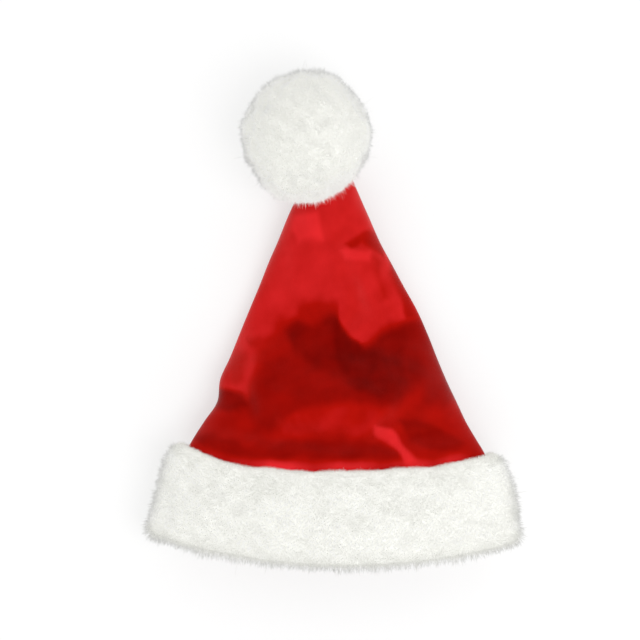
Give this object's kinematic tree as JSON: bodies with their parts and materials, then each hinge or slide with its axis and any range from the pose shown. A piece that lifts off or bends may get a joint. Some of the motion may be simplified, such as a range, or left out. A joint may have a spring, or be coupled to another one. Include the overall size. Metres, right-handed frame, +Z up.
{
  "type": "santa hat",
  "caption": "Soft red cone hat with a wide white plush cuff and a white plush pompom, lying on its back, open at the brim for a head.",
  "frame": {"origin": "on the plane that the hat lies on, under the middle of the cuff, where its plush is pressed flat", "axes": "+X to the right of the picture, +Y from the brim to the pompom, +Z up from the plane, towards the picture's camera"},
  "size_m": [0.3311, 0.4359, 0.1147],
  "materials": {
    "crown_fabric": "satin-faced velour",
    "white_plush": "deep plush pile"
  },
  "bodies": {
    "root": {"crown": "crown_fabric", "cuff": "white_plush", "pompom": "white_plush"}
  },
  "joints": []
}
